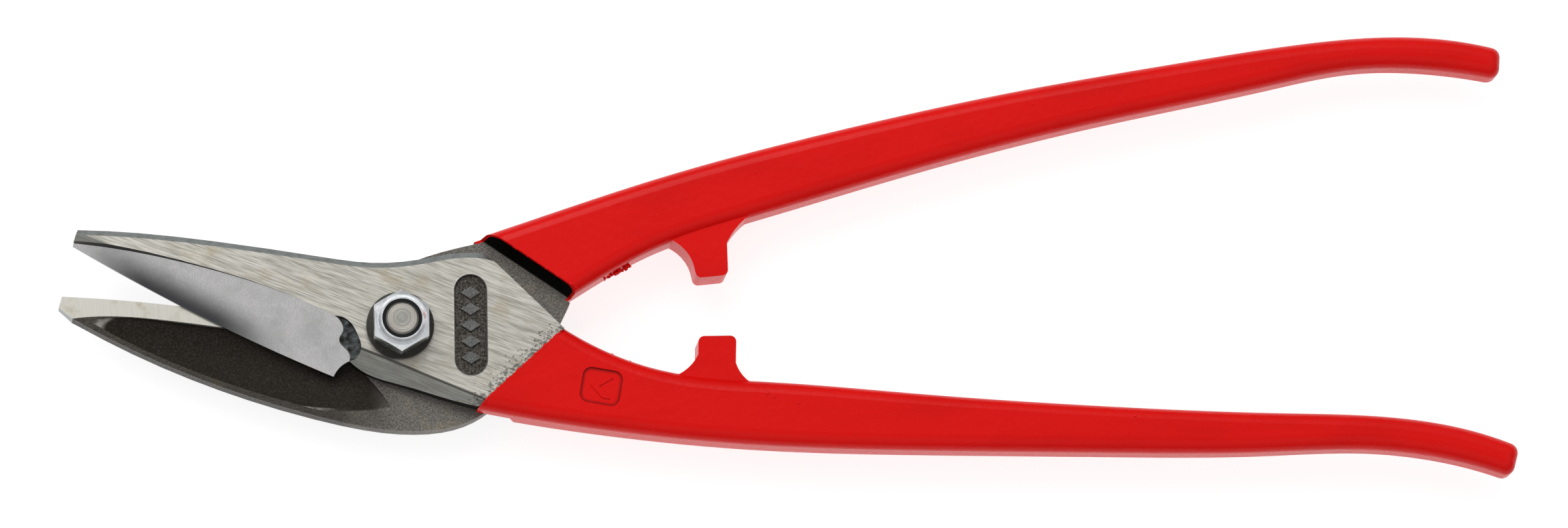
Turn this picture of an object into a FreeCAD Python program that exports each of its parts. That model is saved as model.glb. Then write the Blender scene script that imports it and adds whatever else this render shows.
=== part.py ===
"""Sheet-metal snips: two forged levers on one pivot bolt, in millimetres.

The pivot axis is the Z axis, and z = 0 is the shear plane where the levers slide on each other.
+X points along the handles and +Y from the lower handle to the upper one.
The front lever (z > 0 at its plate) carries the upper jaw and the lower handle.
The rear lever (z < 0 at its plate) carries the lower jaw and the upper handle.
The levers are modelled as they lie with the jaws partly open.
"""
import FreeCAD, Part
import math
import os

# ---- driving dimensions ----------------------------------------------------------------------

PLATE = 5.0              # thickness of each lever at the pivot
SHEAR_GAP = 0.03         # each lever stands this far off the shear plane
BOLT_RADIUS = 3.0        # M6 pivot bolt
BORE_CLEARANCE = 0.05    # radial play of the bolt in both levers
HEX_FLATS = 10.0         # spanner size of bolt head and nut
HEX_FLAT_RADIUS = 4.75   # radius at which a hexagon's end face gives way to its corner chamfer
HEX_CORNER_RADIUS = 6.0  # beyond the hexagon's corners
HEAD_CHAMFER = 0.72      # height of the chamfer on the bolt head's corners
HEAD_HEIGHT = 4.0
SPRING_RADIUS = 6.2      # conical spring washer under the nut
SPRING_THICKNESS = 1.2
SPRING_RISE = 0.5
SPRING_PLAY = 0.15
NUT_HEIGHT = 6.0
NUT_HEX_HEIGHT = 4.7     # the rest of the nut is its round collar
COLLAR_RADIUS = 4.35
COLLAR_WALL = 0.7
COLLAR_ROUND = 0.42      # chamfer round the collar's rim
INSERT_HEIGHT = 1.3
INSERT_SUNK = 0.2        # the insert ends this far below the collar's rim
BOLT_PROUD = 0.25        # bolt end above the nut
BOLT_END_CHAMFER = 0.35

COAT = 0.5               # dipped coating on the handles
HANDLE_HALF = 5.3        # half the coated handle's thickness at its root
HANDLE_TIP_HALF = 4.3    # and at its free end
HANDLE_ROUND = 2.6       # edge radius of the coated handle
HANDLE_REACH = 210.0     # the taper's length along X
END_ROUND = 1.8          # corners of the handle's blunt end
LUG_HALF = 3.7           # half the coated stop lug's thickness
LUG_ROUND = 1.1

TOP_CHAMFER = 1.15       # along the back of the upper jaw and plate
LOWER_CHAMFER_SLOPE = 1.0  # along the lower edge of the plate
EDGE_LAND = 0.9          # thickness left at the cutting edge of the upper blade
BEVEL_SLOPE = 0.43       # rise of the ground bevel of the upper blade
LOWER_EDGE_LAND = 1.1
LOWER_BEVEL_SLOPE = 0.85
HOLLOW_DEPTH = 1.5       # relief in the face of the lower jaw
HOLLOW_CROWN = 19.5      # height of the relief's turning axis above the shear plane
WELD_SINK = 0.6          # the weld beads lie this far below the plate's face

RECESS_WIDTH = 5.9       # marking panel in the plate
RECESS_LENGTH = 18.8
RECESS_DEPTH = 0.7
LOZENGE_RISE = 0.45
LOZENGES = 5
LOZENGE_HALF = 1.8       # half a lozenge's width across the panel
LOZENGE_FILL = 0.76      # share of its pitch that each lozenge takes up
BADGE_LENGTH = 7.4       # marking panel in the lower handle
BADGE_WIDTH = 6.6
BADGE_DEPTH = 0.32
BADGE_CORNER = 1.65
BADGE_TURN = -10.0       # degrees
CHEVRON_REACH = 1.95     # from the badge's middle to the chevron's point, along the handle
CHEVRON_RISE = 2.0       # and to its ends, across the handle
CHEVRON_WIDTH = 1.5

BIG = 400.0              # reach of a cutting half-space
OVERLAP = 0.2            # how far a piece that is fused on reaches into what it stands on

# ---- outlines, as points in the XY plane -------------------------------------------------------

# Upper jaw and plate of the front lever
JAW_TIP = (-58.75, 18.25)
BLADE_TIP = (-59.45, 16.35)
EDGE_TIP = (-59.6, 15.9)
EDGE_MIDDLE = (-35.5, 2.45)
EDGE_HEEL = (-12.05, -8.6)
PLATE_TOP = [JAW_TIP, (-46.5, 17.6), (-30.4, 15.7), (-14.2, 13.25), (-5.5, 12.15), (3.5, 12.7),
             (11.0, 13.95), (15.9, 13.75)]
PLATE_CORNER = (30.2, -0.35)
PLATE_LOWER_END = (14.5, -14.75)
HEEL_CORNER = (-9.2, -6.0)
PLATE_LOWER = [PLATE_LOWER_END, (8.1, -12.95), (1.5, -10.75), (-6.2, -8.1), HEEL_CORNER]
WELD_FOOT = (-8.2, -5.75)
WELD_TOP = (-12.0, 2.0)
WELD_RIGHT = [WELD_FOOT, (-7.15, -4.0), (-7.8, -1.4), (-9.1, 0.8), WELD_TOP]
WELD_LEFT = [WELD_TOP, (-10.75, 0.8), (-10.4, -0.7), (-11.1, -2.2), (-9.7, -4.1), HEEL_CORNER]
SEAM = [WELD_TOP, (-24.2, 7.5), (-36.7, 11.5), (-49.2, 14.6), BLADE_TIP]
CHAMFER_LINE = ((-7.0, -4.1), (15.3, -13.5))

# Lower jaw and plate of the rear lever
LOWER_TIP = (-61.6, 6.6)
LOWER_NOSE = (-62.2, 4.5)
LOWER_CHIN = (-59.7, 2.5)
LOWER_HEEL = (-12.5, 0.2)
LOWER_EDGE = [LOWER_HEEL, (-31.9, 3.7), (-45.0, 5.35), LOWER_TIP]
STRIP_HEEL = (-12.5, -3.1)
STRIP_SEAM = [LOWER_CHIN, (-51.3, 2.9), (-41.2, 2.0), (-31.9, 0.75), STRIP_HEEL]
HEEL_SEAT_LOW = (-10.2, -3.4)
HEEL_SEAT_HIGH = (-10.4, 0.6)
REAR_TOP_END = (14.6, 16.5)
REAR_SHOULDER = [HEEL_SEAT_HIGH, (-8.6, 6.4), (-1.5, 11.3), (7.3, 14.7), REAR_TOP_END]
REAR_INNER = (31.7, 5.4)
REAR_CORNER = (29.9, 1.7)
ROOT_CORNER = (16.9, -14.3)
REAR_BOTTOM = [ROOT_CORNER, (11.0, -17.5), (2.8, -18.6), (-13.4, -16.2), (-29.5, -11.4),
               (-45.8, -4.8), LOWER_CHIN]
HOLLOW_EDGE = [(-9.0, -5.2), (-2.5, -16.9), (-13.6, -15.0), (-29.8, -10.2), (-45.5, -3.9), (-57.0, 2.2)]
HOLLOW_SEAM = [(-57.0, 2.2), (-51.3, 2.7), (-41.2, 1.8), (-31.9, 0.55), (-12.5, -3.4), (-9.0, -5.2)]
HOLLOW_CENTRE = (-27.0, -5.2)
HOLLOW_TURN = -12.5      # degrees from the X axis
HOLLOW_HALF_LENGTH = 31.0

# Coated handles: the outer side runs to the free end, the inner side runs back to the pivot
FRONT_OUTER = [(8.0, -13.8), (22.0, -16.6), (36.1, -18.8), (63.7, -21.7), (96.8, -22.9), (130.0, -23.35),
               (160.0, -23.3), (180.0, -22.9), (191.0, -24.1), (206.0, -28.2)]
FRONT_INNER = [(207.6, -22.4), (190.6, -17.6), (179.6, -16.45), (163.0, -15.95), (130.0, -14.6),
               (96.8, -12.35), (69.2, -10.1), (47.2, -7.6), (36.1, -3.4), (27.0, 2.3)]
REAR_OUTER = [(9.0, 15.1), (22.0, 19.5), (47.2, 28.0), (80.3, 37.1), (113.4, 44.6), (146.5, 50.6),
              (170.0, 54.3), (186.0, 55.6), (206.8, 53.2)]
REAR_INNER_SIDE = [(206.3, 47.5), (191.6, 49.5), (179.6, 49.4), (163.0, 46.2), (130.0, 39.0),
                   (96.8, 30.4), (63.7, 20.5), (47.2, 14.9), (36.1, 8.8), (25.0, 1.6)]
FRONT_LUG_LEFT = [(47.0, -9.6), (52.3, -8.1), (54.9, -5.0)]
FRONT_LUG_TIP = [(55.0, -1.6), (62.0, -1.5)]
FRONT_LUG_RIGHT = [(61.8, -6.6), (63.6, -9.6), (69.0, -11.5)]
FRONT_LUG_ROOT = [(68.0, -16.0), (47.0, -14.0)]
REAR_LUG_RIGHT = [(67.0, 22.5), (62.4, 18.8), (60.6, 16.0)]
REAR_LUG_TIP = [(60.7, 9.9), (54.9, 9.3)]
REAR_LUG_LEFT = [(54.3, 11.9), (52.2, 15.2), (47.6, 17.2)]
REAR_LUG_ROOT = [(48.0, 21.0), (66.0, 27.0)]

# Where the coating begins, and where each handle steps across the shear plane
FRONT_COAT_LINE = (PLATE_LOWER_END, PLATE_CORNER)
REAR_COAT_LINE = (REAR_INNER, REAR_TOP_END)
FRONT_STEP_LINE = ((20.5, -16.0), (33.5, -2.0))
REAR_STEP_LINE = ((31.9, 5.9), (17.3, 15.9))
STEP_LEAN = 1.3          # how far the step's wall leans back over one plate's thickness

RECESS_CENTRE = (13.0, 0.3)
BADGE_CENTRE = (36.8, -11.3)


# ---- drawing helpers -----------------------------------------------------------------------------

def vector(point, z=0.0):
    return FreeCAD.Vector(point[0], point[1], z)


def stroke(points):
    """One edge: a line through two points, an arc through three, or a smooth curve through more."""
    vectors = [vector(point) for point in points]
    if len(vectors) == 2:
        return Part.LineSegment(*vectors).toShape()
    if len(vectors) == 3:
        return Part.Arc(*vectors).toShape()
    curve = Part.BSplineCurve()
    curve.interpolate(vectors)
    return curve.toShape()


def outline_wire(strokes, height):
    wire = Part.Wire([stroke(points) for points in strokes])
    wire.translate(FreeCAD.Vector(0, 0, height))
    return wire


def prism(strokes, low, high):
    """A solid with straight walls, from a closed chain of strokes, between two heights."""
    return Part.Face(outline_wire(strokes, low)).extrude(FreeCAD.Vector(0, 0, high - low))


def polygon_prism(points, low, high):
    closed = points + [points[0]]
    return prism([closed[i:i + 2] for i in range(len(points))], low, high)


def left_of(line, low=-BIG, high=BIG, lean=0.0):
    """The space to the left of a line, between two heights, its wall leaning left as it rises."""
    start, end = vector(line[0]), vector(line[1])
    along = (end - start).normalize()
    left = FreeCAD.Vector(-along.y, along.x, 0)
    back = start - along * BIG
    up = FreeCAD.Vector(0, 0, 1)
    corners = [back + left * lean * low + up * low, back + left * BIG + up * low]
    corners += [back + left * BIG + up * high, back + left * lean * high + up * high]
    return Part.Face(Part.makePolygon(corners + [corners[0]])).extrude(along * 2 * BIG)


def outside_plane(line, height, slope, side):
    """All that lies outside a sloping plane, above it (side 1) or below its mirror image (side -1).

    The plane holds the line at the given height, and rises by slope to the line's left.
    """
    start, end = vector(line[0]), vector(line[1])
    along = (end - start).normalize()
    left = FreeCAD.Vector(-along.y, along.x, 0)
    back = start - along * BIG
    reach = 60.0
    low_end = back - left * reach + FreeCAD.Vector(0, 0, side * (height - slope * reach))
    high_end = back + left * reach + FreeCAD.Vector(0, 0, side * (height + slope * reach))
    far = FreeCAD.Vector(0, 0, side * BIG)
    corners = [low_end, high_end, high_end + far, low_end + far]
    return Part.Face(Part.makePolygon(corners + [corners[0]])).extrude(along * 2 * BIG)


def inset_points(points, distance):
    """The points of a side, moved to the right of the way it runs."""
    moved = []
    for i, point in enumerate(points):
        before = vector(points[max(i - 1, 0)])
        after = vector(points[min(i + 1, len(points) - 1)])
        along = (after - before).normalize()
        right = FreeCAD.Vector(along.y, -along.x, 0)
        place = vector(point) + right * distance
        moved.append((place.x, place.y))
    return moved


def upright_edges(solid, places, tolerance=0.5):
    """The edges parallel to Z that stand on the given XY points."""
    chosen = []
    for edge in solid.Edges:
        first, last = edge.Vertexes[0].Point, edge.Vertexes[-1].Point
        upright = math.hypot(first.x - last.x, first.y - last.y) < 1e-6 and abs(first.z - last.z) > 0.1
        near = any(math.hypot(first.x - x, first.y - y) < tolerance for x, y in places)
        if upright and near:
            chosen.append(edge)
    return chosen


def hexagon(flats, low, high):
    radius = flats / math.sqrt(3)
    corners = []
    for i in range(6):
        angle = math.radians(90 + 60 * i)
        corners.append((radius * math.cos(angle), radius * math.sin(angle)))
    return polygon_prism(corners, low, high)


def cylinder(radius, low, high):
    return Part.makeCylinder(radius, high - low, FreeCAD.Vector(0, 0, low))


def turned(profile):
    """A solid of revolution about Z, from (radius, height) corners."""
    points = [FreeCAD.Vector(radius, 0, height) for radius, height in profile]
    face = Part.Face(Part.makePolygon(points + [points[0]]))
    return face.revolve(FreeCAD.Vector(), FreeCAD.Vector(0, 0, 1), 360)


def pivot_bore():
    return cylinder(BOLT_RADIUS + BORE_CLEARANCE, -PLATE - 1, PLATE + 1)


# ---- handles ---------------------------------------------------------------------------------------

def half_thickness(x, inset):
    return HANDLE_HALF - inset - (HANDLE_HALF - HANDLE_TIP_HALF) * x / HANDLE_REACH


def taper(inset):
    """The handle's side view: its thickness falls evenly from the pivot to the free end."""
    near, far = half_thickness(-20, inset), half_thickness(HANDLE_REACH, inset)
    outline = [(-20, near), (HANDLE_REACH, far), (HANDLE_REACH, -far), (-20, -near)]
    points = [FreeCAD.Vector(x, -BIG / 2, z) for x, z in outline]
    return Part.Face(Part.makePolygon(points + [points[0]])).extrude(FreeCAD.Vector(0, BIG, 0))


def handle(upper, lower, inset):
    """A handle's rounded bar, drawn in by the inset on every side but its root."""
    upper = inset_points(upper, inset)
    lower = inset_points(lower, inset)
    upper[-1] = (upper[-1][0] - inset, upper[-1][1])
    lower[0] = (lower[0][0] - inset, lower[0][1])
    root = [lower[-1], upper[0]]
    bar = prism([upper, [upper[-1], lower[0]], lower, root], -HANDLE_HALF, HANDLE_HALF)
    bar = bar.common(taper(inset))
    bar = bar.makeFillet(END_ROUND, upright_edges(bar, [upper[-1], lower[0]]))
    root_edge = stroke(root)
    long_edges = []
    for edge in bar.Edges:
        middle = edge.valueAt((edge.FirstParameter + edge.LastParameter) / 2)
        on_face = abs(abs(middle.z) - half_thickness(middle.x, inset)) < 0.01
        on_ground = Part.Vertex(FreeCAD.Vector(middle.x, middle.y, 0))
        at_root = root_edge.distToShape(on_ground)[0] < 0.01
        if on_face and not at_root:
            long_edges.append(edge)
    return bar.makeFillet(HANDLE_ROUND - inset, long_edges)


def lug(left, tip, right, root, inset):
    """A stop lug with flared feet on a root inside the handle, drawn in by the inset."""
    if inset:
        left, right = inset_points(left, inset), inset_points(right, inset)
        tip = inset_points(tip, inset)
        tip = [(tip[0][0] + math.copysign(inset, tip[1][0] - tip[0][0]), tip[0][1]),
               (tip[1][0] - math.copysign(inset, tip[1][0] - tip[0][0]), tip[1][1])]
    sides = [left, [left[-1], tip[0]], tip, [tip[-1], right[0]], right, [right[-1], root[0]], root,
             [root[-1], left[0]]]
    solid = prism(sides, inset - LUG_HALF, LUG_HALF - inset)
    solid = solid.makeFillet(LUG_ROUND, upright_edges(solid, tip))
    return solid


def front_bar(inset):
    """The lower handle with its lug, stepping across the shear plane behind the front lever's plate."""
    bar = handle(FRONT_INNER[::-1], FRONT_OUTER[::-1], inset)
    bar = bar.fuse(lug(FRONT_LUG_LEFT, FRONT_LUG_TIP, FRONT_LUG_RIGHT, FRONT_LUG_ROOT, inset))
    step = left_of(FRONT_STEP_LINE, low=-2 * PLATE, high=SHEAR_GAP, lean=STEP_LEAN / PLATE)
    return bar.cut(step).cut(left_of(FRONT_COAT_LINE))


def rear_bar(inset):
    """The upper handle with its lug, stepping across the shear plane before the rear lever's plate."""
    bar = handle(REAR_OUTER, REAR_INNER_SIDE, inset)
    bar = bar.fuse(lug(REAR_LUG_RIGHT, REAR_LUG_TIP, REAR_LUG_LEFT, REAR_LUG_ROOT, inset))
    step = left_of(REAR_STEP_LINE, low=-SHEAR_GAP, high=2 * PLATE, lean=-STEP_LEAN / PLATE)
    return bar.cut(step).cut(left_of(REAR_COAT_LINE))


def same_plane(one, other):
    if one.Surface.TypeId != "Part::GeomPlane" or other.Surface.TypeId != "Part::GeomPlane":
        return False
    parallel = one.Surface.Axis.cross(other.Surface.Axis).Length < 1e-6
    offset = (one.Surface.Position - other.Surface.Position).dot(one.Surface.Axis)
    return parallel and abs(offset) < 1e-4


def sleeve(outer, inner):
    """The skin between a bar and its core, which meet only in the planes at their roots."""
    skin = []
    for face in outer.Faces:
        partners = [other for other in inner.Faces if same_plane(face, other)]
        skin += face.cut(Part.Compound(partners)).Faces if partners else [face]
    skin += [face for face in inner.Faces if not any(same_plane(face, other) for other in outer.Faces)]
    sewn = Part.Compound(skin)
    sewn.sewShape(1e-3)
    return Part.Solid(sewn.Shells[0])


# ---- marking panels --------------------------------------------------------------------------------

def stadium(width, length, low, high):
    """An upright slot shape: a rectangle with half-round ends, long side along Y."""
    radius = width / 2
    straight = length / 2 - radius
    right = [(radius, -straight), (radius, straight)]
    top = [(radius, straight), (0, straight + radius), (-radius, straight)]
    left = [(-radius, straight), (-radius, -straight)]
    bottom = [(-radius, -straight), (0, -straight - radius), (radius, -straight)]
    return prism([right, top, left, bottom], low, high)


def at(solid, place, turn=0.0):
    solid.rotate(FreeCAD.Vector(), FreeCAD.Vector(0, 0, 1), turn)
    solid.translate(vector(place))
    return solid


def plate_panel(lever):
    """A sunk panel with a row of raised lozenges, a plain pattern."""
    floor = PLATE - RECESS_DEPTH
    lever = lever.cut(at(stadium(RECESS_WIDTH, RECESS_LENGTH, floor, PLATE + 1), RECESS_CENTRE))
    pitch = (RECESS_LENGTH - 2 * LOZENGE_HALF) / LOZENGES
    reach = pitch * LOZENGE_FILL / 2
    for i in range(LOZENGES):
        corners = [(LOZENGE_HALF, 0), (0, reach), (-LOZENGE_HALF, 0), (0, -reach)]
        lozenge = polygon_prism(corners, floor - OVERLAP, floor + LOZENGE_RISE)
        height = RECESS_CENTRE[1] + (i - (LOZENGES - 1) / 2) * pitch
        lever = lever.fuse(at(lozenge, (RECESS_CENTRE[0], height)))
    return lever


def badge_panel(bar):
    """A shallow rounded panel with a raised chevron that points at the jaws."""
    top = half_thickness(BADGE_CENTRE[0], 0)
    floor = top - BADGE_DEPTH
    half_length, half_width = BADGE_LENGTH / 2, BADGE_WIDTH / 2
    box = Part.makeBox(BADGE_LENGTH, BADGE_WIDTH, 3, FreeCAD.Vector(-half_length, -half_width, floor))
    corners = [(x, y) for x in (-half_length, half_length) for y in (-half_width, half_width)]
    box = box.makeFillet(BADGE_CORNER, upright_edges(box, corners))
    reach, rise, width = CHEVRON_REACH, CHEVRON_RISE, CHEVRON_WIDTH
    corners = [(-reach, 0), (reach - width, -rise), (reach, -rise), (-reach + width, 0), (reach, rise),
               (reach - width, rise)]
    chevron = polygon_prism(corners, floor - 1, top - COAT / 8)
    return bar.cut(at(box.cut(chevron), BADGE_CENTRE, BADGE_TURN))


# ---- front lever, with the upper jaw and the lower handle ---------------------------------------------

def front_lever():
    outline = [PLATE_TOP, [PLATE_TOP[-1], PLATE_CORNER], [PLATE_CORNER, PLATE_LOWER_END], PLATE_LOWER,
               [HEEL_CORNER, WELD_FOOT], WELD_RIGHT, SEAM, [BLADE_TIP, JAW_TIP]]
    plate = prism(outline, SHEAR_GAP, PLATE)
    back_edges = [edge for edge in plate.Edges if follows(edge, PLATE_TOP, PLATE)]
    plate = plate.makeChamfer(TOP_CHAMFER, back_edges)
    plate = plate.cut(outside_plane(CHAMFER_LINE, PLATE, LOWER_CHAMFER_SLOPE, 1))
    plate = plate_panel(plate)
    return plate.fuse(front_bar(COAT)).cut(pivot_bore()).removeSplitter()


def follows(edge, points, height):
    """Whether an edge runs at a height from the first to the last of the points."""
    ends = [vertex.Point for vertex in edge.Vertexes]
    if len(ends) < 2:
        return False
    wanted = [vector(points[0], height), vector(points[-1], height)]
    return all(min(end.distanceToPoint(goal) for end in ends) < 0.05 for goal in wanted)


def upper_blade():
    """The cutting strip of the upper jaw, ground to a bevel that falls to the cutting edge."""
    edge = [EDGE_TIP, EDGE_MIDDLE, EDGE_HEEL]
    notch = [EDGE_HEEL, (-10.95, -7.05), HEEL_CORNER]
    strip = prism([SEAM, [BLADE_TIP, EDGE_TIP], edge, notch, WELD_LEFT[::-1]], SHEAR_GAP, PLATE)
    return strip.cut(outside_plane((EDGE_HEEL, EDGE_TIP)[::-1], EDGE_LAND, BEVEL_SLOPE, 1))


def upper_weld():
    """The bead that closes the heel of the upper blade against the plate."""
    bead = prism([WELD_LEFT, [HEEL_CORNER, WELD_FOOT], WELD_RIGHT], SHEAR_GAP, PLATE - WELD_SINK)
    return bead


# ---- rear lever, with the lower jaw and the upper handle ------------------------------------------------

def hollow():
    """The relief in the lower jaw's face: a long scoop, bounded by the blade seam and the rim."""
    half, crown = HOLLOW_HALF_LENGTH, HOLLOW_CROWN
    ends = [FreeCAD.Vector(-half, -crown, 0), FreeCAD.Vector(half, -crown, 0)]
    belly = FreeCAD.Vector(0, -crown - HOLLOW_DEPTH, 0)
    edges = [Part.Arc(ends[0], belly, ends[1]).toShape()]
    axis_ends = [FreeCAD.Vector(half, 0, 0), FreeCAD.Vector(-half, 0, 0)]
    sides = Part.makePolygon([ends[1], *axis_ends, ends[0]])
    face = Part.Face(Part.Wire(edges + sides.Edges))
    scoop = face.revolve(FreeCAD.Vector(), FreeCAD.Vector(1, 0, 0), 360)
    scoop.rotate(FreeCAD.Vector(), FreeCAD.Vector(0, 0, 1), HOLLOW_TURN)
    scoop.translate(vector(HOLLOW_CENTRE, crown))
    return scoop.common(prism([HOLLOW_EDGE, HOLLOW_SEAM], -PLATE, PLATE))


def lower_bevel():
    """What is ground away behind the lower cutting edge."""
    slope = outside_plane((LOWER_HEEL, LOWER_TIP), LOWER_EDGE_LAND, LOWER_BEVEL_SLOPE, -1)
    return slope.common(left_of(((LOWER_HEEL[0], 0), (LOWER_HEEL[0], 10))))


def rear_outline(inset):
    """The rear plate and lower jaw, the jaw's lower side drawn in by the inset up to its chin."""
    bottom = inset_points(REAR_BOTTOM[:-1], inset) + [LOWER_CHIN]
    return [REAR_SHOULDER, [REAR_TOP_END, REAR_INNER], [REAR_INNER, REAR_CORNER],
            [REAR_CORNER, bottom[0]], bottom, STRIP_SEAM, [STRIP_HEEL, HEEL_SEAT_LOW],
            [HEEL_SEAT_LOW, HEEL_SEAT_HIGH]]


def rear_lever():
    wires = [outline_wire(rear_outline(inset), height)
             for inset, height in ((TOP_CHAMFER, -PLATE), (0, TOP_CHAMFER - PLATE))]
    plate = Part.makeLoft(wires, True, True)
    plate = plate.fuse(prism(rear_outline(0), TOP_CHAMFER - PLATE, -SHEAR_GAP))
    plate = plate.cut(hollow()).cut(lower_bevel())
    return plate.fuse(rear_bar(COAT)).cut(pivot_bore()).removeSplitter()


def lower_blade():
    """The cutting strip of the lower jaw, flat on the shear plane and ground away behind."""
    strip = prism([LOWER_EDGE, [LOWER_TIP, LOWER_NOSE], [LOWER_NOSE, LOWER_CHIN], STRIP_SEAM,
                   [STRIP_HEEL, LOWER_HEEL]], -PLATE, -SHEAR_GAP)
    return strip.cut(lower_bevel())


def lower_weld():
    """The bead that closes the heel of the lower blade against the plate."""
    corners = [LOWER_HEEL, STRIP_HEEL, HEEL_SEAT_LOW, HEEL_SEAT_HIGH]
    return polygon_prism(corners, WELD_SINK - PLATE, -SHEAR_GAP)


# ---- pivot hardware --------------------------------------------------------------------------------

NUT_SEAT = PLATE + SPRING_THICKNESS + SPRING_RISE
NUT_TOP = NUT_SEAT + NUT_HEIGHT


def corner_cut(low, high, both_ends):
    """The turned shape that rounds a hexagon's corners off at 30 degrees."""
    inner, outer = HEX_FLAT_RADIUS, HEX_CORNER_RADIUS
    drop = (outer - inner) * math.tan(math.radians(30))
    profile = [(0, low), (inner, low), (outer, low + drop)] if both_ends else [(0, low), (outer, low)]
    return turned(profile + [(outer, high - drop), (inner, high), (0, high)])


def pivot_bolt():
    """Hexagon head behind the rear lever, plain shank, chamfered end."""
    seat = -PLATE - SHEAR_GAP
    head = hexagon(HEX_FLATS, seat - HEAD_HEIGHT, seat)
    base = seat - HEAD_HEIGHT
    head = head.common(turned([(0, base), (HEX_FLAT_RADIUS, base), (HEX_CORNER_RADIUS, base + HEAD_CHAMFER),
                               (HEX_CORNER_RADIUS, seat), (0, seat)]))
    end = NUT_TOP + BOLT_PROUD
    tip = BOLT_RADIUS - BOLT_END_CHAMFER
    shank = turned([(0, seat - 1), (BOLT_RADIUS, seat - 1), (BOLT_RADIUS, end - BOLT_END_CHAMFER),
                    (tip, end), (0, end)])
    return head.fuse(shank).removeSplitter()


def pivot_nut():
    """Locking nut: a hexagon with a round collar that is rolled in over the insert."""
    hex_top = NUT_SEAT + NUT_HEX_HEIGHT
    body = hexagon(HEX_FLATS, NUT_SEAT, hex_top).common(corner_cut(NUT_SEAT, hex_top, True))
    lip = COLLAR_ROUND
    collar = turned([(0, hex_top - 1), (COLLAR_RADIUS, hex_top - 1), (COLLAR_RADIUS, NUT_TOP - lip),
                     (COLLAR_RADIUS - lip, NUT_TOP), (0, NUT_TOP)])
    pocket = cylinder(COLLAR_RADIUS - COLLAR_WALL, NUT_TOP - INSERT_HEIGHT, NUT_TOP + 1)
    return body.fuse(collar).cut(pocket).cut(cylinder(BOLT_RADIUS, 0, NUT_TOP + 1)).removeSplitter()


def nut_insert():
    """The nylon ring that grips the bolt's thread."""
    outer = cylinder(COLLAR_RADIUS - COLLAR_WALL, NUT_TOP - INSERT_HEIGHT, NUT_TOP - INSERT_SUNK)
    return outer.cut(cylinder(BOLT_RADIUS, 0, NUT_TOP + 1))


def spring_washer():
    """Conical washer: its rim bears on the plate and its inner edge on the nut."""
    bore = BOLT_RADIUS + SPRING_PLAY
    rim_top = PLATE + SPRING_THICKNESS
    return turned([(bore, PLATE + SPRING_RISE), (SPRING_RADIUS, PLATE), (SPRING_RADIUS, rim_top),
                   (bore, NUT_SEAT)])


# ---- handle coatings -------------------------------------------------------------------------------

def front_handle_coat():
    return sleeve(badge_panel(front_bar(0)), front_bar(COAT))


def rear_handle_coat():
    return sleeve(rear_bar(0), rear_bar(COAT))


def main():
    os.makedirs("parts", exist_ok=True)
    parts = {
        "front_lever": front_lever(),
        "rear_lever": rear_lever(),
        "upper_blade": upper_blade(),
        "lower_blade": lower_blade(),
        "upper_blade_weld": upper_weld(),
        "lower_blade_weld": lower_weld(),
        "pivot_bolt": pivot_bolt(),
        "pivot_nut": pivot_nut(),
        "nut_insert": nut_insert(),
        "spring_washer": spring_washer(),
        "front_handle_coat": front_handle_coat(),
        "rear_handle_coat": rear_handle_coat(),
    }
    for name, shape in parts.items():
        shape.exportStep("parts/" + name + ".step")


main()
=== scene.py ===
"""Forged two-lever sheet-metal snips: finishes, small details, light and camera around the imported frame.

Lengths in the constants are millimetres unless a comment says otherwise, and MM turns them into metres.
The frame has the pivot axis as Z, the handles along +X and the upper handle on the +Y side.
"""

import math

import bpy
import numpy as np
from bpy.props import FloatProperty, FloatVectorProperty, PointerProperty
from mathutils import Matrix, Vector


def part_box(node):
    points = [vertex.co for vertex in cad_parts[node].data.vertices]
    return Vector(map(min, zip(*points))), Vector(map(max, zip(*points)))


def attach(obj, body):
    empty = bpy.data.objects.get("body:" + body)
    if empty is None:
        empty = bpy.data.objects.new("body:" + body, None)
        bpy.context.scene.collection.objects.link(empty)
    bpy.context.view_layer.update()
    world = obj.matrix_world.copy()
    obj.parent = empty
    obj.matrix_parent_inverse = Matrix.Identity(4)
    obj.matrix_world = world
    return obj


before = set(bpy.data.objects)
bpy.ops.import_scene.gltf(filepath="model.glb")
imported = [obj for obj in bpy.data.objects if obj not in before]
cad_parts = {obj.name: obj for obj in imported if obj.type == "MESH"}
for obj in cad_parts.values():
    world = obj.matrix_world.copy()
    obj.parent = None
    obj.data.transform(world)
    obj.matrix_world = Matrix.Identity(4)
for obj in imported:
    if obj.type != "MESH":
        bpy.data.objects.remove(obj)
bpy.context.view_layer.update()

bl_info = {
    "name": "Forged Snips",
    "version": (1, 0, 0),
    "blender": (4, 5, 0),
    "location": "View3D > Sidebar > Snips",
    "description": "Finishes and small details for a pair of forged sheet-metal snips",
    "category": "Object",
}

MM = 0.001

# Places on the tool, which the finishes and the small pieces follow.
PLATE_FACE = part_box("spring_washer")[0].z / MM       # the ground face that the washer sits on
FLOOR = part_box("pivot_bolt")[0].z / MM               # the bolt head's flat, on which the tool lies
FRONT_COAT_LINE = ((14.5, -14.75), (30.2, -0.35))    # where the coating ends on the front plate
REAR_STEP_TOP = ((18.4, 16.9), (33.2, 6.9))          # upper edge of the rear lever's step
LOWER_CHAMFER_LINE = ((-7.0, -4.1), (15.3, -13.5))   # where the plate's face meets its lower chamfer
CUTTING_EDGE = ((-59.6, 15.9), (-12.05, -8.6))       # ends of the upper cutting edge
PANEL_CENTRE = (13.0, 0.3, 0.0)                      # the sunk panel on the plate
PANEL_STRAIGHT = 6.45                                # half the length between its round ends
PANEL_RADIUS = 3.05                                  # its half width, with the rolled edge
BADGE_CENTRE = (36.8, -11.3, 0.0)                    # the badge on the lower handle
BADGE_CORNER = 1.65                                  # radius of its corners
BADGE_HALF = (2.05, 1.65, 100.0)                     # half its straight sides, and out of reach upward
BADGE_TURN = -10.0                                   # degrees
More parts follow.
